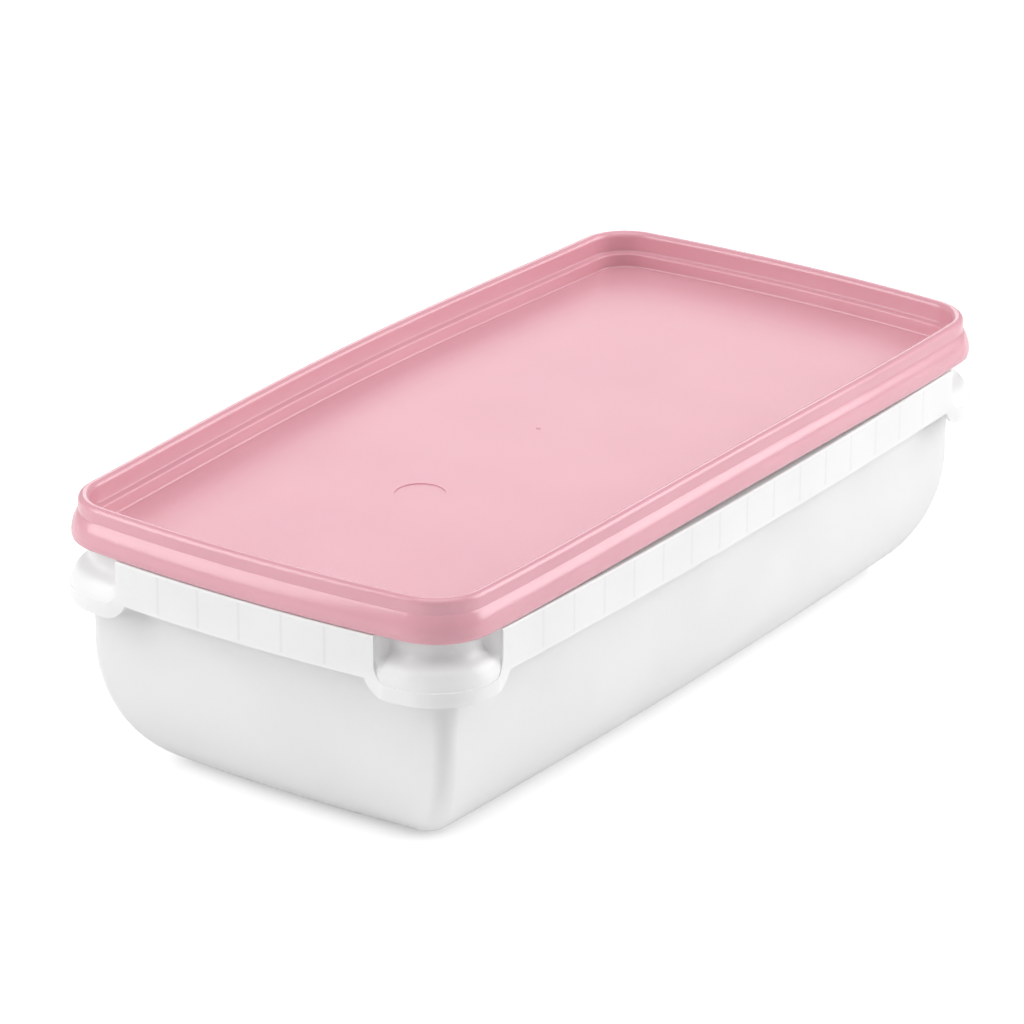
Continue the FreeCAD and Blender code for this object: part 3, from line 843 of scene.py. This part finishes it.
@dataclass
class Tub:
    """The tub: a drafted wall, a deep rounded base, a flange with a ribbed skirt, and scooped corner lugs.

    The skirt is drawn flat: x runs along the quarter's outline, y inwards and z up. Then it is bent round.
    """

    plan: Plan
    wall: float = 1.2 * MM
    floor: float = 1.4 * MM
    wall_inset: float = 5.2 * MM
    knee_draft: float = 2.5 * MM
    knee_height: float = 39.3 * MM
    knee_reach: float = 26.1 * MM
    draft_power: float = 1.53  # how late the draft comes in, going up from the knee
    radius_power: float = 1.44  # how late the corners open, going up from the knee
    top_radius: float = 13.3 * MM
    knee_radius: float = 5.7 * MM
    base_radius: float = 4.8 * MM
    shoulder: float = 76.0 * MM
    rim_top: float = 81.8 * MM
    rim_outer: float = 3.25 * MM
    rim_inner: float = 4.35 * MM
    rim_round: float = 0.35 * MM
    flange: float = 71.1 * MM
    flange_bite: float = 0.3 * MM
    skirt_low: float = 58.1 * MM
    skin: float = 1.2 * MM
    edge_round: float = 0.6 * MM
    soft_edge: float = 0.3 * MM
    soft_angle: float = 50
    lug_low: float = 53.1 * MM
    lug_start_x: float = 115.4 * MM
    lug_start_y: float = 40.9 * MM
    lug_round: float = 8.0 * MM
    lug_rim: float = 3.6 * MM
    lug_sill: float = 4.4 * MM
    lug_flare: float = 0.8 * MM
    flare_run: float = 8.0 * MM
    flare_rise: float = 3.0 * MM
    scoop_round: float = 5.0 * MM
    scoop_step: float = 0.3 * MM
    scoop_flat: float = 1.6 * MM
    scoop_top: float = 67.6 * MM
    scoop_back: float = 0.1 * MM
    scoop_side: float = 3.0 * MM
    side_step: float = 0.8 * MM
    rib_thickness: float = 0.9 * MM
    rib_lift: float = 0.8 * MM
    long_ribs: int = 15
    short_ribs: int = 5
    wall_rings: int = 12
    base_rings: int = 16
    arc_steps: int = 8
    scoop_rows: int = 14
    side_cuts: int = 4
    long_columns: int = 14
    short_columns: int = 8
    shell_sharp: float = 40
    skirt_sharp: float = 35

    def wall_levels(self, thickness: float, floor: float, top: float) -> list[Level]:
        """List the wall's rings from the top down to the base.

        Args:
            thickness: How far the rings lie inside the outer wall.
            floor: Height of the last ring.
            top: Height of the first ring.

        Returns:
            Each ring's inset, corner radius and height.
        """
        levels = []
        start = self.wall_inset + self.knee_draft + thickness
        for i in range(self.wall_rings + 1):
            z = top + (self.knee_height - top) * i / self.wall_rings
            share = (z - self.knee_height) / (self.shoulder - self.knee_height)
            inset = start - self.knee_draft * share**self.draft_power
            opening = (self.top_radius - self.knee_radius) * share**self.radius_power
            levels.append((inset, self.knee_radius + opening - thickness, z))
        reach = self.knee_reach - thickness + floor
        rise = self.knee_height - floor
        for i in range(1, self.base_rings + 1):
            angle = math.pi / 2 * i / self.base_rings
            share = 1 - math.cos(angle)
            radius = self.knee_radius + (self.base_radius - self.knee_radius) * share - thickness
            levels.append((start + reach * share, radius, self.knee_height - rise * math.sin(angle)))
        return levels

    def rim_levels(self) -> list[Level]:
        """List the rings of the shoulder and sealing rim.

        Returns:
            Each ring's inset, corner radius and height, from the outer wall over the rim to the inner wall.
        """
        r = self.rim_round
        bevel = r * (1 - math.sqrt(0.5))
        points = [
            (self.rim_outer, self.shoulder - self.wall),
            (self.rim_outer, self.rim_top - r),
            (self.rim_outer + bevel, self.rim_top - bevel),
            (self.rim_outer + r, self.rim_top),
            (self.rim_inner - r, self.rim_top),
            (self.rim_inner - bevel, self.rim_top - bevel),
            (self.rim_inner, self.rim_top - r),
            (self.rim_inner, self.shoulder),
        ]
        return [(inset, self.plan.corner_radius - inset, z) for inset, z in points]

    def ring(self, bm: BMesh, level: Level) -> list[BMEdge]:
        """Spin a point round the quarter.

        Args:
            bm: The mesh.
            level: The ring's inset, corner radius and height.

        Returns:
            The ring's edges.
        """
        inset, radius, z = level
        known = set(bm.edges)
        start = bm.verts.new((0, self.plan.half_width - inset, z))
        spin_quarter(bm, [start], self.plan, inset, radius)
        return [e for e in bm.edges if e not in known]

    def add_shell(self, bm: BMesh) -> None:
        """Build the wall, base, shoulder and sealing rim as one closed shell.

        Args:
            bm: The empty mesh.
        """
        outer = self.wall_levels(0, 0, self.shoulder - self.wall)
        inner = self.wall_levels(self.wall, self.floor, self.shoulder)
        levels = outer[::-1] + self.rim_levels() + inner
        rings = [self.ring(bm, level) for level in levels]
        for lower, upper in zip(rings, rings[1:]):
            bmesh.ops.bridge_loops(bm, edges=lower + upper)
        mirror_quarter(bm)
        for level in (0.0, self.floor):
            bmesh.ops.contextual_create(bm, geom=open_edges(bm, level))
        outward(bm)

    def lug_span(self) -> tuple[float, float]:
        """Return where a lug starts and ends along the quarter's outline."""
        plan = self.plan
        start = plan.long_radius * math.asin(self.lug_start_x / plan.long_radius)
        end = plan.quarter_length - plan.short_radius * math.asin(self.lug_start_y / plan.short_radius)
        return start, end

    def window_span(self) -> tuple[float, float]:
        """Return where a scoop's window starts and ends along the quarter's outline."""
        start, end = self.lug_span()
        return start + self.lug_rim, end - self.lug_rim

    @property
    def scoop_low(self) -> float:
        """Height of a scoop's lower edge."""
        return self.lug_low + self.lug_sill

    @property
    def scoop_bend(self) -> float:
        """Height at which a scoop's floor starts to curve inwards."""
        return self.scoop_low + self.scoop_flat

    def scoop_inset(self, z: float) -> float:
        """Find how deep a scoop's floor lies: upright at first, then an S of two equal arcs.

        Args:
            z: Height.

        Returns:
            The distance inside the skirt's face.
        """
        bend, top = self.scoop_bend, self.scoop_top
        high = self.wall_inset - self.scoop_back
        if z <= bend:
            return self.scoop_step
        if z >= top:
            return high
        width, height = (high - self.scoop_step) / 2, (top - bend) / 2
        radius = (width**2 + height**2) / (2 * width)
        lower = min(z, bend + height) - bend
        upper = max(0.0, top - max(z, bend + height))
        if z <= bend + height:
            return self.scoop_step + radius - math.sqrt(radius**2 - lower**2)
        return high - radius + math.sqrt(radius**2 - upper**2)

    def scoop_depth(self, x: float, z: float) -> float:
        """Find how deep a scoop lies, with sides that slope in from its window.

        Args:
            x: Distance along the outline.
            z: Height.

        Returns:
            The distance inside the skirt's face.
        """
        deep = self.scoop_inset(z)
        shallow = min(deep, self.side_step)
        left, right = self.window_span()
        return shallow + (deep - shallow) * ease(min(x - left, right - x) / self.scoop_side)

    def at_top(self, item: BMEdge | BMFace) -> bool:
        """Tell whether an edge or a face lies at the flange's height."""
        return all(v.co.z > self.flange - MERGE for v in item.verts)

    def in_window(self, edge: BMEdge, low: float) -> bool:
        """Tell whether an edge lies in the window's width, and above a height."""
        left, right = self.window_span()
        place = middle(edge)
        return left - MERGE < place.x < right + MERGE and place.z > low - MERGE

    def draw_skirt(self, bm: BMesh) -> BMFace:
        """Draw a quarter of the skirt flat, with a notch for the scoop's window.

        Args:
            bm: The empty mesh.

        Returns:
            The window's face.
        """
        start, end = self.lug_span()
        left, right = self.window_span()
        top, low, r, q = self.flange, self.scoop_low, self.lug_round, self.scoop_round
        turn = math.degrees(math.acos(1 - min(r, self.skirt_low - self.lug_low) / r))
        total = self.plan.quarter_length
        up = Vector((0, 1, 0))

        def at(x: float, z: float) -> Vector:
            """Return a point of the flat skirt."""
            return Vector((x, 0, z))

        notch = SectionPen(bm, at(left, top))
        notch.line(at(left, low + q))
        notch.arc(at(left + q, low + q), -90, self.arc_steps, up)
        notch.line(at(right - q, low))
        notch.arc(at(right - q, low + q), -90, self.arc_steps, up)
        notch.line(at(right, top))

        rim = SectionPen(bm, at(left, top))
        rim.line(at(0, top))
        rim.line(at(0, self.skirt_low))
        rim.line(at(start + r - r * math.sin(math.radians(turn)), self.skirt_low))
        rim.arc(at(start + r, self.lug_low + r), -turn, self.arc_steps, up)
        rim.line(at(end - r, self.lug_low))
        rim.arc(at(end - r, self.lug_low + r), -turn, self.arc_steps, up)
        rim.line(at(total, self.skirt_low))
        rim.line(at(total, top))
        rim.line(at(right, top))
        SectionPen(bm, at(left, top)).line(at(right, top))
        merge_doubles(bm)

        across = [e for e in bm.edges if self.at_top(e) and self.in_window(e, top)]
        sides = [e for e in bm.edges if not self.at_top(e) and self.in_window(e, low)]
        bmesh.ops.contextual_create(bm, geom=[e for e in bm.edges if e not in across])
        return bmesh.ops.contextual_create(bm, geom=sides + across)["faces"][0]

    def slice_flat(self, bm: BMesh) -> None:
        """Cut the flat skirt into columns for bending and rows for the scoop's curve.

        Args:
            bm: The skirt's mesh.
        """
        long_run, corner_run, short_run = self.plan.run_lengths()
        corner_count = self.plan.corner_steps
        cuts = [long_run * i / self.long_columns for i in range(1, self.long_columns)]
        cuts += [long_run + corner_run * i / corner_count for i in range(corner_count + 1)]
        after = long_run + corner_run
        cuts += [after + short_run * i / self.short_columns for i in range(1, self.short_columns)]
        left, right = self.window_span()
        for i in range(1, self.side_cuts + 1):
            reach = self.scoop_side * i / self.side_cuts
            cuts += [left + reach, right - reach]
        planes = [(Vector((x, 0, 0)), Vector((1, 0, 0))) for x in cuts]
        rise = (self.scoop_top - self.scoop_bend) / self.scoop_rows
        rows = [self.scoop_bend + rise * i for i in range(self.scoop_rows + 1)]
        planes += [(Vector((0, 0, z)), Vector((0, 0, 1))) for z in rows]
        for point, normal in planes:
            geom = bm.verts[:] + bm.edges[:] + bm.faces[:]
            bmesh.ops.bisect_plane(bm, geom=geom, dist=MERGE, plane_co=point, plane_no=normal)

    def sink_scoop(self, bm: BMesh) -> None:
        """Push the window's faces in to the scoop's floor, and open the scoop at the top.

        Args:
            bm: The skirt's mesh.
        """
        window = [f for f in bm.faces if f.material_index == FlatPart.WINDOW]
        made = bmesh.ops.extrude_face_region(bm, geom=window)["geom"]
        bmesh.ops.delete(bm, geom=[f for f in window if f.is_valid], context="FACES")
        for vert in (g for g in made if isinstance(g, BMVert)):
            vert.co.y = self.scoop_depth(vert.co.x, vert.co.z)
        bmesh.ops.delete(bm, geom=[f for f in bm.faces if self.at_top(f)], context="FACES")

    def fold_in(self, bm: BMesh, edges: list[BMEdge], depth: float) -> None:
        """Extrude the top edges inwards, merging what meets.

        Args:
            bm: The skirt's mesh.
            edges: The edges.
            depth: How far inside the skirt's face they end.
        """
        for vert in extrude_loop(bm, edges)[0]:
            vert.co.y = depth
        merge_doubles(bm)

    def face_out(self, bm: BMesh) -> None:
        """Turn the flat sheet's faces so that the skirt's face looks towards -y.

        Args:
            bm: The skirt's mesh.
        """
        bmesh.ops.recalc_face_normals(bm, faces=bm.faces[:])
        front = [f for f in bm.faces if all(abs(v.co.y) < MERGE for v in f.verts)]
        if sum(f.normal.y * f.calc_area() for f in front) > 0:
            bmesh.ops.reverse_faces(bm, faces=bm.faces[:])

    def bend_round(self, bm: BMesh) -> None:
        """Flare the lug outwards and bend the flat moulding round the quarter.

        Args:
            bm: The skirt's mesh.
        """
        start, end = self.lug_span()
        for vert in bm.verts:
            x, y, z = vert.co
            along = min(x - start, end - x) / self.flare_run
            up = (self.scoop_bend + self.flare_rise / 2 - z) / self.flare_rise
            vert.co.y = y - self.lug_flare * ease(along) * ease(up)
            vert.co = self.plan.wrap(vert.co)

    def drop_middle_walls(self, bm: BMesh) -> None:
        """Remove the end faces that mirroring left inside, on the two middle planes.

        Args:
            bm: The skirt's mesh.
        """
        inside = [
            f for f in bm.faces
            if all(abs(v.co.x) < NEAR for v in f.verts) or all(abs(v.co.y) < NEAR for v in f.verts)
        ]
        bmesh.ops.delete(bm, geom=inside, context="FACES")

    def add_skirt(self, bm: BMesh) -> None:
        """Build the flange, skirt, lugs and scoops: drawn flat, given their thickness, then bent round.

        Args:
            bm: The empty mesh.
        """
        self.draw_skirt(bm).material_index = FlatPart.WINDOW
        self.slice_flat(bm)
        rim = [
            e for e in bm.edges
            if self.at_top(e) and all(f.material_index == FlatPart.SKIRT for f in e.link_faces)
        ]
        self.sink_scoop(bm)
        self.fold_in(bm, rim, self.side_step)
        lip = [
            e for e in bm.edges
            if e.is_boundary and self.at_top(e) and all(v.co.y > MERGE for v in e.verts)
        ]
        self.fold_in(bm, lip, self.wall_inset + self.flange_bite)
        outer = [
            e for e in bm.edges
            if not e.is_boundary and self.at_top(e) and all(v.co.y < MERGE for v in e.verts)
        ]
        bmesh.ops.bevel(
            bm, geom=outer, offset=self.edge_round, offset_type="OFFSET", segments=3, profile=0.5,
            affect="EDGES", material=-1, clamp_overlap=True,
        )
        for face in bm.faces:
            face.material_index = TubSlot.FROSTED
        self.face_out(bm)
        bmesh.ops.solidify(bm, geom=bm.faces[:], thickness=self.skin)
        self.bend_round(bm)
        mirror_quarter(bm)
        self.drop_middle_walls(bm)
        outward(bm)

    def soften(self, skirt: Object) -> None:
        """Round the skirt's edges a little, in a paler finish that paints a highlight on them.

        Args:
            skirt: The skirt's object.
        """
        edge = skirt.modifiers.new("softened edges", "BEVEL")
        edge.width = self.soft_edge
        edge.segments = 2
        edge.limit_method = "ANGLE"
        edge.angle_limit = math.radians(self.soft_angle)
        edge.harden_normals = True
        # the bevels take the paler finish of painted highlight
        edge.material = TubSlot.EDGE

    def add_ribs(self, bm: BMesh) -> None:
        """Add the upright ribs between the skirt and the wall.

        Args:
            bm: The empty mesh.
        """
        low = self.skirt_low + self.rib_lift
        height = self.flange - self.skin / 2 - low
        depth = self.wall_inset
        for count, along_x in ((self.long_ribs, True), (self.short_ribs, False)):
            for i in range(count):
                place = (i - (count - 1) / 2) * RIB_PITCH
                edge = self.plan.side_y(place) if along_x else self.plan.side_x(place)
                for side in (-1, 1):
                    across = side * (edge - self.skin / 2 - depth / 2)
                    where = (place, across) if along_x else (across, place)
                    shape = (self.rib_thickness, depth) if along_x else (depth, self.rib_thickness)
                    stand = Matrix.Translation((*where, low + height / 2))
                    bmesh.ops.create_cube(bm, size=1, matrix=stand @ Matrix.Diagonal((*shape, height, 1)))

    def build(self, finish: Material, edge_highlight_finish: Material) -> list[Object]:
        """Build the tub's pieces.

        Args:
            finish: The frosted plastic.
            edge_highlight_finish: A paler colour on the skirt's thin edges, a painted highlight; its lower
                roughness also catches real light.

        Returns:
            The shell, the skirt and the ribs.
        """
        shell, skirt, ribs = bmesh.new(), bmesh.new(), bmesh.new()
        self.add_shell(shell)
        self.add_skirt(skirt)
        self.add_ribs(ribs)
        pieces = [
            finish_piece(shell, "tub_shell", (finish,), self.shell_sharp),
            finish_piece(skirt, "tub_skirt", (finish, edge_highlight_finish), self.skirt_sharp),
            finish_piece(ribs, "tub_ribs", (finish,), self.skirt_sharp),
        ]
        self.soften(pieces[1])
        return pieces


# ---------------- studio


@dataclass(frozen=True)
class SoftBox:
    """A soft box that hangs round the container and faces it.

    Its turn round the container starts at +x, its rise at the floor; both are in degrees.
    """

    name: str
    turn: float
    rise: float
    away: float
    width: float
    height: float
    watts: float

    def hang(self, aim: Vector) -> None:
        """Hang the box.

        Args:
            aim: The point it faces.
        """
        data = bpy.data.lights.new(self.name, "AREA")
        data.shape = "RECTANGLE"
        data.size, data.size_y = self.width, self.height
        data.energy = self.watts
        lamp = bpy.data.objects.new(self.name, data)
        turn, rise = math.radians(self.turn), math.radians(self.rise)
        towards = Vector((math.cos(turn) * math.cos(rise), math.sin(turn) * math.cos(rise), math.sin(rise)))
        lamp.location = towards * self.away
        lamp.rotation_euler = (aim - towards * self.away).to_track_quat("-Z", "Y").to_euler()
        bpy.context.scene.collection.objects.link(lamp)


@dataclass
class Studio:
    """A white floor, soft boxes and the camera. Angles are in degrees."""

    target_height: float = 83.4 * MM
    azimuth: float = -55.23
    elevation: float = 22.63
    roll: float = 0.2
    distance: float = 1643.5 * MM
    shift_right: float = -7.65 * MM
    shift_up: float = -32.69 * MM
    lens: float = 197.2266
    sensor: float = 36.0
    nearest: float = 0.05
    farthest: float = 50.0
    floor_reach: float = 6.0
    floor_white: float = 0.9
    floor_glow: float = 0.35
    floor_sharp: float = 30
    far_light: float = 0.35
    near_light: float = 0.36
    dark_from: float = 0.1
    dark_to: float = 0.8
    aim_height: float = 50 * MM
    boxes: tuple[SoftBox, ...] = (
        SoftBox("left_box", turn=138, rise=28, away=1.6, width=0.85, height=1.2, watts=12.5),
        SoftBox("right_box", turn=310, rise=27, away=1.6, width=1.0, height=1.2, watts=15.5),
        SoftBox("back_box", turn=36, rise=24, away=2.2, width=1.1, height=0.8, watts=5),
        SoftBox("top_box", turn=215, rise=78, away=1.7, width=1.5, height=1.3, watts=10.5),
    )

    def add_camera(self) -> None:
        """Place the camera, which looks down at the container's near corner."""
        turn, rise = math.radians(self.azimuth), math.radians(self.elevation)
        back = Vector((math.sin(turn) * math.cos(rise), -math.cos(turn) * math.cos(rise), math.sin(rise)))
        right = Vector((math.cos(turn), math.sin(turn), 0))
        up = back.cross(right)
        roll = math.radians(self.roll)
        rolled_right = right * math.cos(roll) + up * math.sin(roll)
        rolled_up = up * math.cos(roll) - right * math.sin(roll)
        place = Vector((0, 0, self.target_height)) + back * self.distance
        place += right * self.shift_right + up * self.shift_up
        data = bpy.data.cameras.new("camera")
        data.sensor_width = self.sensor
        data.lens = self.lens
        data.clip_start, data.clip_end = self.nearest, self.farthest
        camera = bpy.data.objects.new("camera", data)
        axes = Matrix((rolled_right, rolled_up, back)).transposed().to_4x4()
        camera.matrix_world = Matrix.Translation(place) @ axes
        bpy.context.scene.collection.objects.link(camera)
        bpy.context.scene.camera = camera

    def add_floor(self) -> None:
        """Lay the white floor, which takes the container's shadow and glows a little for the camera."""
        bm = bmesh.new()
        bmesh.ops.create_grid(bm, x_segments=2, y_segments=2, size=self.floor_reach)
        material, sheet = new_material("floor_paper")
        white = self.floor_white
        paper = sheet.add("ShaderNodeBsdfDiffuse", {"Color": (white, white, white, 1)})
        glow = sheet.add("ShaderNodeEmission", {"Color": (1, 1, 1, 1), "Strength": self.floor_glow})
        lit = sheet.add("ShaderNodeAddShader", {0: paper.outputs[0], 1: glow.outputs[0]})
        rays = sheet.add("ShaderNodeLightPath").outputs["Is Camera Ray"]
        both = sheet.mix_shaders(rays, paper, lit)
        sheet.add("ShaderNodeOutputMaterial", {"Surface": both.outputs[0]})
        floor = finish_piece(bm, "floor", (material,), self.floor_sharp)

    def add_world(self) -> None:
        """Light the scene softly, with a white backdrop for the camera."""
        world = bpy.data.worlds.new("studio")
        world.use_nodes = True
        world.node_tree.nodes.clear()
        sheet = NodeSheet(world.node_tree)
        towards = sheet.add("ShaderNodeTexCoord").outputs["Generated"]
        turn = math.radians(self.azimuth)
        camera_side = (math.sin(turn), -math.cos(turn), 0.0)
        facing = sheet.add(
            "ShaderNodeVectorMath", {0: towards, 1: camera_side}, operation="DOT_PRODUCT"
        ).outputs["Value"]
        strength = sheet.ramp(facing, self.dark_from, self.dark_to, self.far_light, self.near_light)
        soft = sheet.add("ShaderNodeBackground", {"Color": (1, 1, 1, 1), "Strength": strength})
        white = sheet.add("ShaderNodeBackground", {"Color": (1, 1, 1, 1), "Strength": 1.0})
        rays = sheet.add("ShaderNodeLightPath").outputs["Is Camera Ray"]
        both = sheet.mix_shaders(rays, soft, white)
        sheet.add("ShaderNodeOutputWorld", {"Surface": both.outputs[0]})
        bpy.context.scene.world = world

    def build(self) -> None:
        """Set up the studio."""
        self.add_camera()
        self.add_floor()
        self.add_world()
        for box in self.boxes:
            box.hang(Vector((0, 0, self.aim_height)))
        bpy.context.scene.view_settings.view_transform = "Standard"


# ---------------- everything


def main() -> None:
    """Build the container round its frame and report each piece."""
    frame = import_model()
    grain = moulded_grain_group()
    plan = Plan()
    lid = Lid(plan).build(LID_BEAD.build(grain), LID_PANEL.build(grain))
    tub = Tub(plan).build(TUB_FROSTED.build(grain), TUB_EDGE_HIGHLIGHT.build(grain))
    for piece in [lid, *tub]:
        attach(piece, "root")
        log.info("%s: %d faces", piece.name, len(piece.data.polygons))
    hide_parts("lid")
    for piece in tub:
        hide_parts("tub")
    Studio().build()
    log.info("%d CAD nodes in the frame", len(frame["nodes"]))


if __name__ == "__main__":
    main()
